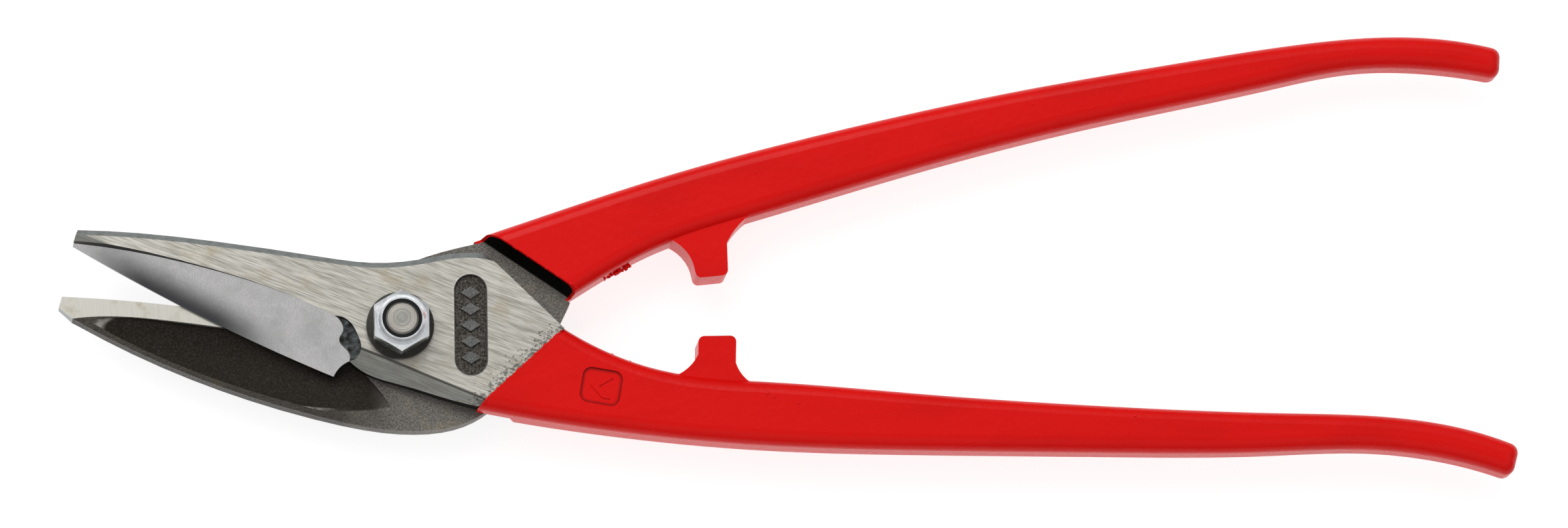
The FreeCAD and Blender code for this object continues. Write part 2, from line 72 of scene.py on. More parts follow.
LIP_SETBACK = 0.03                                   # share of its line that a lip stops short at each end
FRONT_FLASH = ((38.3, -4.4, 0.0), (43.6, -6.55, 0.0))  # ends of the ragged flash on each inner edge
REAR_FLASH = ((37.6, 9.55, 0.0), (42.6, 12.25, 0.0))
FLASH_WANDER = (0.1, 0.18, 0.9)                      # how far its lumps stray from the line
FLASH_LUMPS = 16                                     # lumps that run together along each of them
FLASH_SEED = 4                                       # fixes the random places and sizes of the lumps
FLASH_SPREAD = (0.5, 1.2)                            # smallest and largest share of the flash's radius
FRONT_NIBS = [(67.4, -12.6, 4.98), (68.6, -13.3, 4.97), (73.1, -14.4, 4.95),  # specks caught in the coating
              (135.5, -16.9, 4.65), (91.0, -17.5, 4.86)]
REAR_NIBS = [(66.0, 29.0, 4.98), (118.0, 42.0, 4.73)]
NIB_SPREAD = (0.6, 1.1)                              # smallest and largest share of a speck's radius
NIB_SHAPE = (1, 1, 0.5)                              # a speck is half as high as it is wide
LIP_SEED = 11                                        # fixes how the lips wander
SPECK_REACH = (-5.0 * MM, 0.2 * MM)                  # metres past the coating's edge, where scale thickens
BLACK = (0.0, 0.0, 0.0, 1.0)
# Name, body, line of the lip, its height, flash and specks of each handle's coating.
COAT_DETAILS = [("front", "front_half", FRONT_COAT_LINE, PLATE_FACE, FRONT_FLASH, FRONT_NIBS),
                ("rear", "rear_half", REAR_STEP_TOP, PLATE_FACE - 0.1, REAR_FLASH, REAR_NIBS)]

# The stage.
FLOOR_HALF = 1500.0                                  # half the side of the floor
FLOOR_GAP = 0.02                                     # keeps it just clear of the bolt head
SENSOR_WIDTH = 36
ROOM_LIGHT = [(0.0, 0.22), (1.0, 0.5), (0.4, 0.55), (0.68, 1.0), (0.9, 0.95)]  # upward share and brightness
KEY_SIZE = (1.2, 0.9)                                # from here on, metres
KEY_PLACE = (-0.35, 0.75, 1.1)
KEY_AIM = Vector((0.07, 0, 0))
CLIPPING = (0.05, 20)


def linear(code):
    """Linear RGBA of an sRGB hex colour: the sRGB curve undone for each channel."""
    parts = [int(code[i : i + 2], 16) / 255 for i in (1, 3, 5)]
    return tuple(p / 12.92 if p <= 0.04045 else ((p + 0.055) / 1.055) ** 2.4 for p in parts) + (1.0,)


def colour(name, code, about):
    """A colour setting that starts at an sRGB hex colour."""
    return FloatVectorProperty(name=name, description=about, subtype="COLOR", size=4, min=0, max=1,
                               default=linear(code))


def length(name, size, about):
    """A length setting in metres that starts at a size in millimetres."""
    return FloatProperty(name=name, description=about, unit="LENGTH", min=0, precision=5, default=size * MM)


class SnipsColours(bpy.types.PropertyGroup):
    """The colours of the finishes"""
    ground: colour("Ground steel", "#C6C3BB", "Bright strokes of the ground plate")
    stroke: colour("Grinding strokes", "#928F87", "Dark strokes between them")
    temper: colour("Warm tint", "#988B6C", "Straw tint left on the ground steel")
    chamfer: colour("Chamfers", "#858A88", "Smooth chamfers round the plate")
    # The scale colour also serves as painted shade on the front plate's upright walls, where they face the
    # seam between the halves.
    scale: colour("Forging scale", "#221E1A", "Dark scale in sunk and unground places")
    forged: colour("Forged steel", "#7B7772", "Grained grey of the rear forging")
    bevel: colour("Ground bevel", "#D2D0D0", "Fine ground bevel of the blades")
    # Painted reflection: the dark band that the bevel shows beside the cutting edge towards the tip.
    bevel_dark_reflection: colour("Bevel shade", "#4A4A4C", "Dark part of the bevel along the cutting edge")
    strip: colour("Blade strip", "#CBC8BF", "Bright face of the lower blade strip")
    weld: colour("Weld", "#4A4F50", "Weld metal")
    zinc: colour("Zinc", "#EEF1F4", "Zinc plating of the nut")
    bolt: colour("Turned steel", "#9A958E", "Turned end of the bolt")
    oxide: colour("Black oxide", "#33322F", "Spring washer")
    insert: colour("Nylon insert", "#05070B", "Locking ring in the nut")
    coat: colour("Handle coating", "#DA0C08", "Dipped coating of the handles")
    coat_deep: colour("Coating shade", "#BE0705", "Thicker, deeper coloured places of the coating")
    # Painted shade: the darkest red lines the inside of the badge's border in place of the shade along its
    # sunk edge.
    coat_badge_shade: colour("Coating pool", "#5E0303", "Darkest red, where the coating pools in a corner")
    floor: colour("Floor", "#959595", "Plain floor")


class SnipsSizes(bpy.types.PropertyGroup):
    """The sizes of the patterns and small pieces"""
    # The grinding, bevel and turning marks are coarser than real ones, which are too fine to show.
    stroke: length("Grinding stroke", 0.17, "Width of a grinding stroke on the plate")
    grain: length("Forging grain", 0.35, "Size of the grain of the forged surfaces")
    bevel_line: length("Bevel line", 0.16, "Spacing of the fine lines on the bevel")
    ring: length("Turning mark", 0.28, "Spacing of the circular marks on the bolt end")
    peel: length("Orange peel", 1.6, "Size of the soft waves in the coating")
    lip: length("Coating lip", 0.24, "Radius of the lip where the coating ends")
    flash: length("Coating flash", 0.42, "Radius of the lumps along the inner edges")
    nib: length("Nib", 0.3, "Radius of a speck caught in the coating")


class SnipsStage(bpy.types.PropertyGroup):
    """The view and the light"""
    width: length("View width", 288.05, "Width that the camera sees at the pivot")
    distance: length("Distance", 1600, "From the camera to the aim point")
    turn: FloatProperty(name="Turn", description="How far the view leans left of the pivot axis",
                        subtype="ANGLE", default=math.radians(5.8))
    tilt: FloatProperty(name="Tilt", description="How far the view leans below the pivot axis",
                        subtype="ANGLE", default=math.radians(11.8))
    right: length("Aim right", 70.83, "Aim point, to the right of the pivot")
    up: length("Aim up", 12.44, "Aim point, above the pivot")
    sky: FloatProperty(name="Room light", description="Strength of the light all round", default=0.82, min=0)
    key: FloatProperty(name="Key light", description="Power of the large soft light", subtype="POWER",
                       default=9.0, min=0)


# ---------------------------------------------------------------- material helpers

# The kinds of node used: Blender's name, its settings, the inputs that its values are for, and its output.
AXES = {axis: ("ShaderNodeSeparateXYZ", {}, (0,), axis.upper()) for axis in "xyz"}
SUMS = {name.lower(): ("ShaderNodeMath", {"operation": name}, (0, 1, 2), 0)
        for name in ("ADD", "SUBTRACT", "MULTIPLY", "MULTIPLY_ADD", "ABSOLUTE", "MINIMUM", "MAXIMUM")}
VECTOR_SUMS = {"vector_" + name.lower(): ("ShaderNodeVectorMath", {"operation": name}, (0, 1), 0)
               for name in ("SUBTRACT", "MULTIPLY", "ABSOLUTE", "MAXIMUM")}
KINDS = {
    **AXES, **SUMS, **VECTOR_SUMS,
    "length": ("ShaderNodeVectorMath", {"operation": "LENGTH"}, (0,), "Value"),
    "dot": ("ShaderNodeVectorMath", {"operation": "DOT_PRODUCT"}, (0, 1), "Value"),
    "mix": ("ShaderNodeMix", {"data_type": "RGBA"}, (0, 6, 7), 2),
    "ease": ("ShaderNodeMapRange", {"interpolation_type": "SMOOTHSTEP"},
             ("Value", "From Min", "From Max", "To Min", "To Max"), 0),
    "noise": ("ShaderNodeTexNoise", {}, ("Vector", "Scale", "Detail", "Roughness"), 0),
    "line_noise": ("ShaderNodeTexNoise", {"noise_dimensions": "1D"}, ("W", "Scale", "Detail"), 0),
    "lay": ("ShaderNodeMapping", {"vector_type": "TEXTURE"}, ("Vector", "Location", "Rotation", "Scale"), 0),
    "bump": ("ShaderNodeBump", {}, ("Height", "Distance", "Normal"), 0),
    "place": ("ShaderNodeTexCoord", {}, (), "Object"),
    "direction": ("ShaderNodeTexCoord", {}, (), "Generated"),
    "normal": ("ShaderNodeNewGeometry", {}, (), "Normal"),
    "ramp": ("ShaderNodeValToRGB", {}, (0,), 0),
    "shader": ("ShaderNodeBsdfPrincipled", {}, (), 0),
    "background": ("ShaderNodeBackground", {}, ("Color", "Strength"), 0),
    "surface": ("ShaderNodeOutputMaterial", {}, ("Surface",), None),
    "world": ("ShaderNodeOutputWorld", {}, ("Surface",), None),
}


def wire(tree, target, inputs):
    """Sets a node's inputs: a socket is linked, and any other value is put on the input itself."""
    for name, value in inputs.items():
        if isinstance(value, bpy.types.NodeSocket):
            tree.links.new(value, target.inputs[name])
        else:
            target.inputs[name].default_value = value


def add(tree, kind, *values):
    """Adds a node of one of the kinds, with its settings and inputs, and gives the output that is read."""
    name, choices, inputs, output = KINDS[kind]
    made = tree.nodes.new(name)
    for choice, value in choices.items():
        setattr(made, choice, value)
    wire(tree, made, dict(zip(inputs, values)))
    return None if output is None else made.outputs[output]


def new_material(name, **shader_inputs):
    """A node material: itself, its tree, its shader and the object coordinates that its patterns read."""
    material = bpy.data.materials.new(name)
    material.use_nodes = True
    tree = material.node_tree
    tree.nodes.clear()
    surface = add(tree, "shader")
    wire(tree, surface.node, {key.replace("_", " "): value for key, value in shader_inputs.items()})
    add(tree, "surface", surface)
    return material, tree, surface.node, add(tree, "place")


def per(size):
    """The scale of a pattern whose features are as large as size, in millimetres."""
    return 1 / (size * MM)


def streaks(tree, place, long, wide, angle, detail):
    """Noise drawn out along a direction: long and wide are the streak's size in millimetres."""
    size = (long * MM, wide * MM, wide * MM)
    laid = add(tree, "lay", place, (0, 0, 0), (0, 0, math.radians(angle)), size)
    return add(tree, "noise", laid, 1.0, detail)


def beyond(tree, place, line):
    """Distance in metres to the right of a line across the tool, seen from its first point to its second."""
    (ax, ay), (bx, by) = line
    run = math.hypot(bx - ax, by - ay)
    normal = ((by - ay) / run, (ax - bx) / run, 0)
    return add(tree, "subtract", add(tree, "dot", place, normal), (ax * normal[0] + ay * normal[1]) * MM)


def facing(tree, axis):
    """The share of the surface's direction that points along an axis."""
    return add(tree, axis, add(tree, "normal"))


def in_panel(tree, place):
    """1 inside the sunk panel: the distance from its middle line is under its radius."""
    local = add(tree, "vector_subtract", place, tuple(v * MM for v in PANEL_CENTRE))
    past = add(tree, "vector_subtract", add(tree, "vector_absolute", local), (0, PANEL_STRAIGHT * MM, 0))
    flat = add(tree, "vector_multiply", add(tree, "vector_maximum", past, (0, 0, 0)), (1, 1, 0))
    outer, inner = (PANEL_RADIUS + 0.12) * MM, (PANEL_RADIUS - 0.1) * MM
    return add(tree, "ease", add(tree, "length", flat), outer, inner)


def round_badge(tree, place):
    """Distance in millimetres outside the badge's border, a turned rectangle with round corners; less than
    nothing inside it."""
    local = add(tree, "lay", place, tuple(v * MM for v in BADGE_CENTRE), (0, 0, math.radians(BADGE_TURN)),
                (MM, MM, MM))
    past = add(tree, "vector_subtract", add(tree, "vector_absolute", local), BADGE_HALF)
    corner = add(tree, "length", add(tree, "vector_maximum", past, (0, 0, 0)))
    inside = add(tree, "minimum", add(tree, "maximum", add(tree, "x", past), add(tree, "y", past)), 0.0)
    return add(tree, "subtract", add(tree, "add", corner, inside), BADGE_CORNER)


# ---------------------------------------------------------------- materials

def ground_forging(colours, sizes):
    """Drop-forged carbon steel, its face ground on a belt: slanting strokes, a straw tint here and there,
    smooth grey chamfers, and black scale left in the sunk panel and beside the coating."""
    material, tree, shader, place = new_material("belt_ground_carbon_steel", Metallic=1.0)
    stroke = sizes.stroke / MM
    fine = streaks(tree, place, 4.0, stroke, -22, 4.0)
    broad = streaks(tree, place, 9.0, stroke * 5, -17, 2.0)
    strokes = add(tree, "multiply_add", fine, 0.7, add(tree, "multiply", broad, 0.3))
    brush = add(tree, "ease", strokes, 0.32, 0.66)
    steel = add(tree, "mix", brush, colours.stroke, colours.ground)
    straw = add(tree, "ease", add(tree, "noise", place, per(5.5), 3.0, 0.6), 0.5, 0.8, 0.0, 0.5)
    tinted = add(tree, "mix", straw, steel, colours.temper)
    # The chamfers: smooth and grey; where they look down the tool they are painted lighter in the ground
    # colour, a painted highlight.
    dull = add(tree, "ease", add(tree, "noise", place, per(1.2), 3.0, 0.6), 0.4, 0.8, 0.0, 0.35)
    soft = add(tree, "mix", dull, colours.chamfer, colours.scale)
    downward_highlight = add(tree, "ease", facing(tree, "y"), -0.1, -0.5, 0.0, 0.55)
    chamfered = add(tree, "mix", downward_highlight, soft, tinted)
    up = facing(tree, "z")
    shaped = add(tree, "mix", add(tree, "ease", up, 0.9, 0.99), chamfered, tinted)
    # The upright walls take the dark scale colour: forging scale on the unground walls, and painted shade
    # where they face the seam between the halves.
    walls_scale_and_shade = add(tree, "mix", add(tree, "ease", up, 0.15, 0.5), colours.scale, shaped)
    backed = add(tree, "mix", add(tree, "ease", up, -0.6, -0.9), walls_scale_and_shade, colours.forged)
    # Scale that the belt missed beside the coating: thicker specks towards the coating's edge.
    near = add(tree, "ease", beyond(tree, place, FRONT_COAT_LINE), *SPECK_REACH, 0.0, 0.26)
    spots = add(tree, "add", add(tree, "noise", place, per(0.7), 4.0, 0.6), near)
    speck = add(tree, "ease", spots, 0.66, 0.86, 0.0, 0.65)
    specked = add(tree, "mix", speck, backed, colours.scale)
    # Dark line where the face meets its lower chamfer.
    off_line = add(tree, "absolute", beyond(tree, place, LOWER_CHAMFER_LINE))
    line = add(tree, "ease", off_line, 0.32 * MM, 0.1 * MM, 0.0, 0.75)
    started = add(tree, "ease", add(tree, "x", place), -9.0 * MM, -8.0 * MM)
    lined = add(tree, "mix", add(tree, "multiply", line, started), specked, colours.scale)
    # The sunk panel: scale on its floor, and paler tops on its lozenges.
    panel = in_panel(tree, place)
    grain = add(tree, "noise", place, 1 / sizes.grain, 4.0, 0.6)
    worn = add(tree, "ease", grain, 0.35, 0.7, 0.05, 0.5)
    floor = add(tree, "mix", worn, colours.scale, colours.forged)
    low, high = (PLATE_FACE - 0.62) * MM, (PLATE_FACE - 0.3) * MM
    top = add(tree, "ease", add(tree, "z", place), low, high, 0.0, 0.3)
    sunk = add(tree, "mix", top, floor, colours.chamfer)
    rough = add(tree, "multiply", grain, add(tree, "add", panel, speck))
    wire(tree, shader, {
        "Base Color": add(tree, "mix", panel, lined, sunk),
        "Roughness": add(tree, "ease", add(tree, "add", brush, panel), 0.0, 1.6, 0.5, 0.4),
        "Normal": add(tree, "bump", rough, 0.12 * MM, add(tree, "bump", fine, 0.03 * MM)),
    })
    return material


def dark_forging(colours, sizes):
    """Drop-forged carbon steel as it left the die: grained grey faces, brown-black in the hollow of
    the jaw, a black step, and a thin bright line just below the shear face in the jaw."""
    material, tree, shader, place = new_material("die_forged_carbon_steel", Metallic=1.0)
    x = add(tree, "x", place)
    z = add(tree, "z", place)
    grain = add(tree, "noise", place, 1 / sizes.grain, 4.0, 0.7)
    cloud = add(tree, "noise", place, per(7.0), 2.0, 0.6)
    coarse = add(tree, "ease", grain, 0.3, 0.72, 0.0, 0.55)
    grey = add(tree, "mix", coarse, colours.forged, colours.scale)
    patchy = add(tree, "mix", add(tree, "ease", cloud, 0.5, 0.75, 0.0, 0.25), grey, colours.temper)
    # Towards the jaw, the faces turn darker in uneven clouds.
    jaw_reach = add(tree, "add", x, add(tree, "multiply", cloud, 12.0 * MM))
    jaw_darkening = add(tree, "ease", jaw_reach, 9.0 * MM, -8.0 * MM, 0.0, 0.7)
    jaw_darkened = add(tree, "mix", jaw_darkening, patchy, colours.scale)
    # The hollow: below the shear face, in the jaw, and looking up.
    below = add(tree, "ease", z, -0.06 * MM, -0.22 * MM)
    jaw = add(tree, "ease", x, 2.0 * MM, -6.0 * MM)
    level = add(tree, "ease", facing(tree, "z"), 0.55, 0.8)
    hollow = add(tree, "multiply", add(tree, "multiply", below, jaw), level)
    bared = add(tree, "ease", grain, 0.4, 0.8, 0.0, 0.22)
    brown = add(tree, "mix", bared, colours.scale, colours.forged)
    sunk = add(tree, "mix", hollow, jaw_darkened, brown)
    # The bright line: a thin band just below the shear face, broken up by noise.
    band = add(tree, "multiply", below, add(tree, "ease", z, -0.34 * MM, -0.22 * MM))
    front = add(tree, "multiply", jaw, add(tree, "ease", x, -8.0 * MM, -20.0 * MM))
    broken = add(tree, "ease", add(tree, "noise", place, per(2.0), 3.0, 0.6), 0.3, 0.6, 0.1, 0.5)
    bright = add(tree, "multiply", add(tree, "multiply", band, front), broken)
    jawed = add(tree, "mix", bright, sunk, colours.ground)
    step = add(tree, "multiply", add(tree, "ease", z, 0.15 * MM, 0.5 * MM),
               add(tree, "ease", x, 12.0 * MM, 14.0 * MM))
    wire(tree, shader, {
        "Base Color": add(tree, "mix", step, jawed, BLACK),
        "Roughness": add(tree, "ease", grain, 0.3, 0.7, 0.42, 0.62),
        "Normal": add(tree, "bump", cloud, 0.25 * MM, add(tree, "bump", grain, 0.07 * MM)),
    })
    return material


def ground_blade(colours, sizes):
    """Hard tool steel, its bevel ground flat across the edge: very fine upright lines, a soft cloudy sheen,
    and a painted dark reflection in a band beside the cutting edge towards the tip."""
    material, tree, shader, place = new_material("surface_ground_tool_steel", Metallic=1.0)
    lines = streaks(tree, place, 7.0, sizes.bevel_line / MM, 91, 3.0)
    cloud = add(tree, "noise", place, per(6.0), 2.0, 0.6)
    drawn = add(tree, "ease", lines, 0.35, 0.65, 0.0, 0.22)
    steel = add(tree, "mix", drawn, colours.bevel, colours.chamfer)
    hazy = add(tree, "mix", add(tree, "ease", cloud, 0.45, 0.7, 0.0, 0.25), steel, colours.chamfer)
    # Painted reflection: the bevel darkens in a band beside the cutting edge towards the tip.
    inward = add(tree, "multiply", beyond(tree, place, CUTTING_EDGE), -1.0)
    x = add(tree, "x", place)
    tip = add(tree, "multiply", add(tree, "ease", x, -60 * MM, -46 * MM),
              add(tree, "ease", x, -18 * MM, -34 * MM))
    shade = add(tree, "multiply", add(tree, "ease", inward, 5.0 * MM, -0.5 * MM), tip)
    shaded = add(tree, "mix", shade, hazy, colours.bevel_dark_reflection)
    level = add(tree, "ease", facing(tree, "z"), 0.2, 0.6)
    wire(tree, shader, {
        "Base Color": add(tree, "mix", level, colours.chamfer, shaded),
        "Roughness": add(tree, "ease", lines, 0.3, 0.7, 0.3, 0.4),
        "Normal": add(tree, "bump", lines, 0.006 * MM),
    })
    return material


def bright_strip(colours, sizes):
    """Hard tool steel, ground bright and left with a film of oil: nearly white, with straw stains and
    upright lines."""
    material, tree, shader, place = new_material("bright_ground_tool_steel", Metallic=1.0, Roughness=0.34)
    lines = streaks(tree, place, 5.0, sizes.bevel_line / MM * 1.3, 96, 3.0)
    drawn = add(tree, "ease", lines, 0.35, 0.65, 0.0, 0.15)
    bright = add(tree, "mix", drawn, colours.strip, colours.chamfer)
    stain = add(tree, "ease", add(tree, "noise", place, per(3.2), 3.0, 0.6), 0.52, 0.75, 0.0, 0.45)
    stained = add(tree, "mix", stain, bright, colours.temper)
    level = add(tree, "ease", facing(tree, "z"), 0.1, 0.4)
    wire(tree, shader, {
        "Base Color": add(tree, "mix", level, colours.chamfer, stained),
        "Normal": add(tree, "bump", lines, 0.006 * MM),
    })
    return material


def weld_metal(colours):
    """Arc weld metal, wiped but not ground: dark glossy grey, lumpy, with soft pools."""
    material, tree, shader, place = new_material("arc_weld_metal", Metallic=1.0, Roughness=0.34)
    lumps = add(tree, "noise", place, per(1.5), 2.0, 0.4)
    fine = add(tree, "noise", place, per(0.3), 3.0, 0.6)
    wire(tree, shader, {
        "Base Color": add(tree, "mix", add(tree, "ease", lumps, 0.35, 0.7), colours.weld, colours.scale),
        "Normal": add(tree, "bump", fine, 0.02 * MM, add(tree, "bump", lumps, 0.22 * MM)),
    })
    return material


def zinc_plate(colours):
    """Steel, zinc plated and passivated: bright, faintly blue, with a soft handled haze."""
    material, tree, shader, place = new_material("zinc_plated_steel", Metallic=1.0)
    haze = add(tree, "noise", place, per(1.8), 3.0, 0.6)
    handled = add(tree, "ease", haze, 0.5, 0.8, 0.0, 0.3)
    wire(tree, shader, {
        "Base Color": add(tree, "mix", handled, colours.zinc, colours.chamfer),
        "Roughness": add(tree, "ease", haze, 0.3, 0.7, 0.16, 0.3),
        "Normal": add(tree, "bump", haze, 0.02 * MM),
    })
    return material


def turned_steel(colours, sizes):
    """Mild steel, faced on a lathe: circular tool marks round the bolt's axis, with a dull centre."""
    material, tree, shader, place = new_material("lathe_faced_steel", Metallic=1.0, Roughness=0.36)
    radius = add(tree, "length", add(tree, "vector_multiply", place, (1, 1, 0)))
    rings = add(tree, "line_noise", radius, 1 / sizes.ring, 3.0)
    drawn = add(tree, "ease", rings, 0.35, 0.65, 0.0, 0.55)
    marked = add(tree, "mix", drawn, colours.bolt, colours.ground)
    dull = add(tree, "ease", radius, 0.3 * MM, 2.4 * MM, 0.5, 0.0)
    wire(tree, shader, {
        "Base Color": add(tree, "mix", dull, marked, colours.chamfer),
        "Normal": add(tree, "bump", rings, 0.03 * MM),
    })
    return material


def black_oxide(colours):
    """Spring steel, blackened in hot salts and oiled: near black with a satin gleam and rubbed specks."""
    material, tree, shader, place = new_material("black_oxide_spring_steel", Metallic=1.0)
    speck = add(tree, "noise", place, per(0.6), 3.0, 0.7)
    rubbed = add(tree, "ease", speck, 0.55, 0.8, 0.0, 0.4)
    wire(tree, shader, {
        "Base Color": add(tree, "mix", rubbed, colours.oxide, colours.forged),
        "Roughness": add(tree, "ease", speck, 0.3, 0.7, 0.34, 0.5),
        "Normal": add(tree, "bump", speck, 0.02 * MM),
    })
    return material


def nylon(colours):
    """Nylon, turned ring: near black with a blue cast, matte, with faint ripples."""
    material, tree, shader, place = new_material("turned_nylon", Roughness=0.6, IOR=1.53,
                                                 Specular_IOR_Level=0.2)
    ripple = add(tree, "noise", place, per(0.5), 2.0, 0.6)
    faint = add(tree, "ease", ripple, 0.4, 0.8, 0.0, 0.2)
    wire(tree, shader, {
        "Base Color": add(tree, "mix", faint, colours.insert, colours.scale),
        "Normal": add(tree, "bump", ripple, 0.02 * MM),
    })
    return material


def dipped_coating(colours, sizes):
    """Vinyl plastisol, hot dipped over the forging: glossy, soft orange peel, a slightly deeper red where it
    ran thick, painted shade in darkest red just inside the badge's border, and fine grain showing through."""
    material, tree, shader, place = new_material("dipped_vinyl_plastisol", IOR=1.5, Specular_IOR_Level=0.12,
                                                 Coat_Weight=0.04, Coat_Roughness=0.08)
    peel = add(tree, "noise", place, 1 / sizes.peel, 2.0, 0.4)
    broad = streaks(tree, place, 22.0, 6.0, 8, 2.0)
    fine = add(tree, "noise", place, per(0.45), 3.0, 0.6)
    thick = add(tree, "ease", broad, 0.42, 0.72, 0.0, 0.3)
    red = add(tree, "mix", thick, colours.coat, colours.coat_deep)
    border = round_badge(tree, place)
    # Painted shade: darkest red just inside the badge's border, standing in for the shade along its sunk
    # edge.
    badge_shade = add(tree, "multiply", add(tree, "ease", border, -0.8, -0.05, 0.0, 0.6),
               add(tree, "ease", border, 0.1, 0.0))
    wire(tree, shader, {
        "Base Color": add(tree, "mix", badge_shade, red, colours.coat_badge_shade),
        "Roughness": add(tree, "ease", fine, 0.3, 0.7, 0.24, 0.34),
        "Normal": add(tree, "bump", fine, 0.004 * MM, add(tree, "bump", peel, 0.05 * MM)),
    })
    return material


def floor_card(colours):
    """Opal acrylic light panel under matte paper, for the floor: plain, nearly white, lit from below."""
    material, tree, shader, place = new_material("matte_paper_card", Roughness=0.9,
                                                 Emission_Color=(1, 1, 1, 1), Emission_Strength=0.82)
    tooth = add(tree, "ease", add(tree, "noise", place, per(0.8), 2.0, 0.6), 0.3, 0.7, 0.0, 0.03)
    wire(tree, shader, {"Base Color": add(tree, "mix", tooth, colours.floor, colours.strip)})
    return material


# ---------------------------------------------------------------- pieces

def skin(rings):
    """Points and faces of a closed skin through rings of points, closed at each end by that ring's middle."""
    rows, around = rings.shape[:2]
    ends = np.stack([rings[0].mean(0), rings[-1].mean(0)])
    points = np.concatenate([rings.reshape(-1, 3), ends])
    row = np.arange(rows - 1)[:, None] * around
    here = np.arange(around)[None, :]
    after = (here + 1) % around
    quads = np.stack([row + here, row + after, row + around + after, row + around + here], -1).reshape(-1, 4)
    first = np.stack([after[0], here[0], np.full(around, rows * around)], -1)
    tail = (rows - 1) * around
    last = np.stack([tail + here[0], tail + after[0], np.full(around, rows * around + 1)], -1)
    return points, quads, np.concatenate([first, last])


def piece(name, skins, material, body):
    """Makes one object in metres from closed skins in millimetres, and lets it ride on a body."""
    points, faces, count = [], [], 0
    for own_points, quads, triangles in skins:
        points.append(own_points)
        faces += (quads + count).tolist() + (triangles + count).tolist()
        count += len(own_points)
    mesh = bpy.data.meshes.new(name)
    mesh.from_pydata((np.concatenate(points) * MM).tolist(), [], faces)
    mesh.shade_smooth()
    mesh.materials.append(material)
    made = bpy.data.objects.new(name, mesh)
    bpy.context.scene.collection.objects.link(made)
    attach(made, body)


def waves(along, seed, pitch):
    """A smooth wandering number between -1 and 1: three sines of unlike pitch, in millimetres, and phase."""
    phase = np.random.default_rng(seed).uniform(0, 2 * math.pi, 3)
    turns = 2 * math.pi * along / pitch
    return (np.sin(turns + phase[0]) + np.sin(1.73 * turns + phase[1]) + np.sin(2.91 * turns + phase[2])) / 3


def lip(start, end, height, radius, seed):
    """A round lip from start to end: circles across the line, whose radius and side step wander along it,
    and which shrink to nothing at both ends as a half ellipse does."""
    start, end = np.array([*start, height]), np.array([*end, height])
    run = np.linalg.norm(end - start)
    along = np.linspace(0.0, 1.0, 90)
    side = np.cross((end - start) / run, [0, 0, 1])
    turn = np.linspace(0, 2 * math.pi, 12, endpoint=False)
    taper = np.sqrt(np.clip(1 - np.abs(2 * along - 1) ** 12, 1e-4, 1))
    travelled = along * run
    swell = radius * taper * (1 + 0.3 * waves(travelled, seed, 3.1) + 0.18 * waves(travelled, seed + 1, 0.9))
    stray = 0.16 * waves(travelled, seed + 2, 2.3)
    middle = start + along[:, None] * (end - start) + side * stray[:, None]
    ring = np.cos(turn)[:, None] * side + np.sin(turn)[:, None] * np.array([0, 0, 1])
    return skin(middle[:, None, :] + swell[:, None, None] * ring[None])


def lump(centre, radii, seed):
    """A lump of coating: a ball drawn out by its three radii, with a shallow wave round it."""
    tilt = np.linspace(0.06, math.pi - 0.06, 9)[:, None]
    turn = np.linspace(0, 2 * math.pi, 14, endpoint=False)[None, :]
    swell = 1 + 0.12 * np.sin(3 * turn + seed) * np.sin(tilt)
    ball = np.stack([np.sin(tilt) * np.cos(turn) * swell, np.sin(tilt) * np.sin(turn) * swell,
                     np.cos(tilt) * np.ones_like(turn)], -1)
    return skin((np.array(centre) + ball * np.array(radii))[::-1])


# ---------------------------------------------------------------- operators

def finish_node(name, material):
    """Gives a CAD node its finish."""
    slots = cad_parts[name].data.materials
    slots.clear()
    slots.append(material)


def settings():
    """The colours and sizes of the scene."""
    return bpy.context.scene.snips_colours, bpy.context.scene.snips_sizes


class SNIPS_OT_forgings(bpy.types.Operator):
    """Finish the two forged levers"""
    bl_idname = "snips.forgings"
    bl_label = "Forgings"

    def execute(self, context):
        finish_node("front_lever", ground_forging(*settings()))
        finish_node("rear_lever", dark_forging(*settings()))
        return {"FINISHED"}


class SNIPS_OT_blades(bpy.types.Operator):
    """Finish the two blade strips"""
    bl_idname = "snips.blades"
    bl_label = "Blades"

    def execute(self, context):
        finish_node("upper_blade", ground_blade(*settings()))
        finish_node("lower_blade", bright_strip(*settings()))
        return {"FINISHED"}


class SNIPS_OT_welds(bpy.types.Operator):
    """Finish the weld beads"""
    bl_idname = "snips.welds"
    bl_label = "Welds"

    def execute(self, context):
        metal = weld_metal(context.scene.snips_colours)
        finish_node("upper_blade_weld", metal)
        finish_node("lower_blade_weld", metal)
        return {"FINISHED"}


class SNIPS_OT_pivot(bpy.types.Operator):
    """Finish the pivot's bolt, nut, insert and washer"""
    bl_idname = "snips.pivot"
    bl_label = "Pivot"

    def execute(self, context):
        finish_node("pivot_bolt", turned_steel(*settings()))
        finish_node("pivot_nut", zinc_plate(context.scene.snips_colours))
        finish_node("nut_insert", nylon(context.scene.snips_colours))
        finish_node("spring_washer", black_oxide(context.scene.snips_colours))
        return {"FINISHED"}


